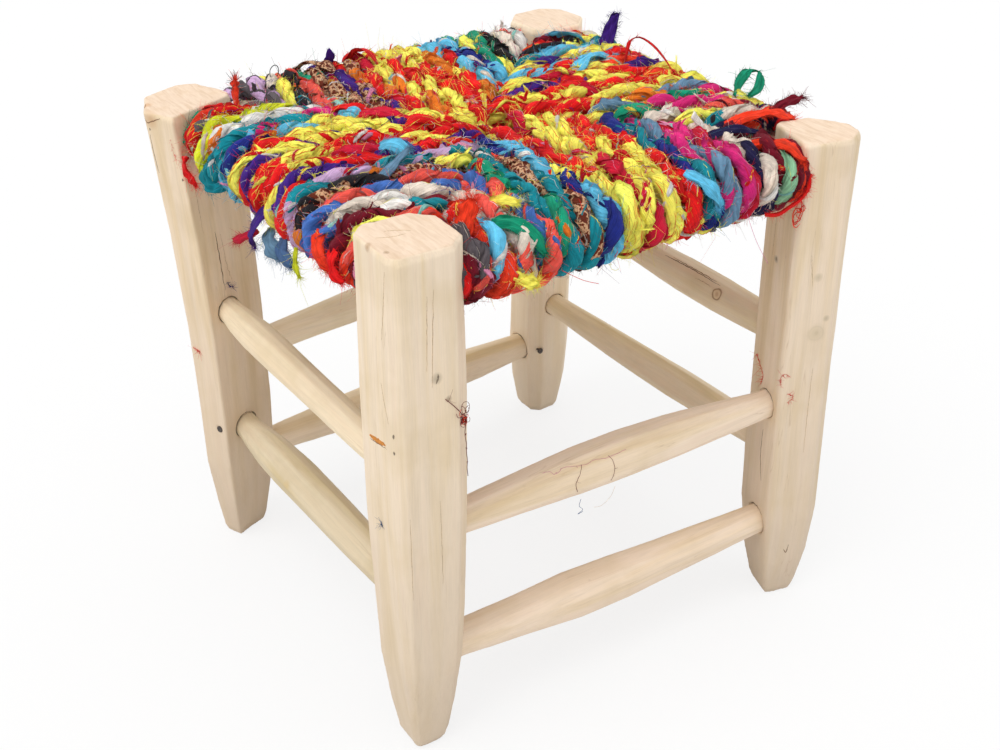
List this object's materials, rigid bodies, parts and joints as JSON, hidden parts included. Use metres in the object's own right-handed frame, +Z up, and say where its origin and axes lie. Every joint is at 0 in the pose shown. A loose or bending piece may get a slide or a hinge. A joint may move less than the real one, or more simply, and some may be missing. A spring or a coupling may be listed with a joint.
{
  "type": "low stool with a wound rope seat",
  "caption": "Low square stool of hewn pale wood legs and whittled stretchers, with a seat wound corner by corner from one thick rag rope.",
  "frame": {"origin": "middle of the stool's overall footprint, on the floor under the feet", "axes": "+X to the right and +Y to the back as seen from the front, +Z up; the front is the side whose two stretchers face -Y"},
  "size_m": [0.3634, 0.3618, 0.3679],
  "materials": {
    "leg_wood": "bare, hewn and scraped",
    "stretcher_wood": "bare, whittled",
    "rail_wood": "bare",
    "rag_rope": "twisted strips of many bright plain cloths",
    "nail_steel": "dull dark steel"
  },
  "bodies": {
    "root": {"leg_front_left": "leg_wood", "leg_front_right": "leg_wood", "leg_back_right": "leg_wood", "leg_back_left": "leg_wood", "stretcher_left_upper": "stretcher_wood", "stretcher_left_lower": "stretcher_wood", "stretcher_front_upper": "stretcher_wood", "stretcher_front_lower": "stretcher_wood", "stretcher_right_upper": "stretcher_wood", "stretcher_right_lower": "stretcher_wood", "stretcher_back_upper": "stretcher_wood", "stretcher_back_lower": "stretcher_wood", "seat_rail_front": "rail_wood", "seat_rail_back": "rail_wood", "seat_rail_left": "rail_wood", "seat_rail_right": "rail_wood", "nail_back_left": "nail_steel", "nail_back_right": "nail_steel", "seat_rope": "rag_rope"}
  },
  "joints": []
}
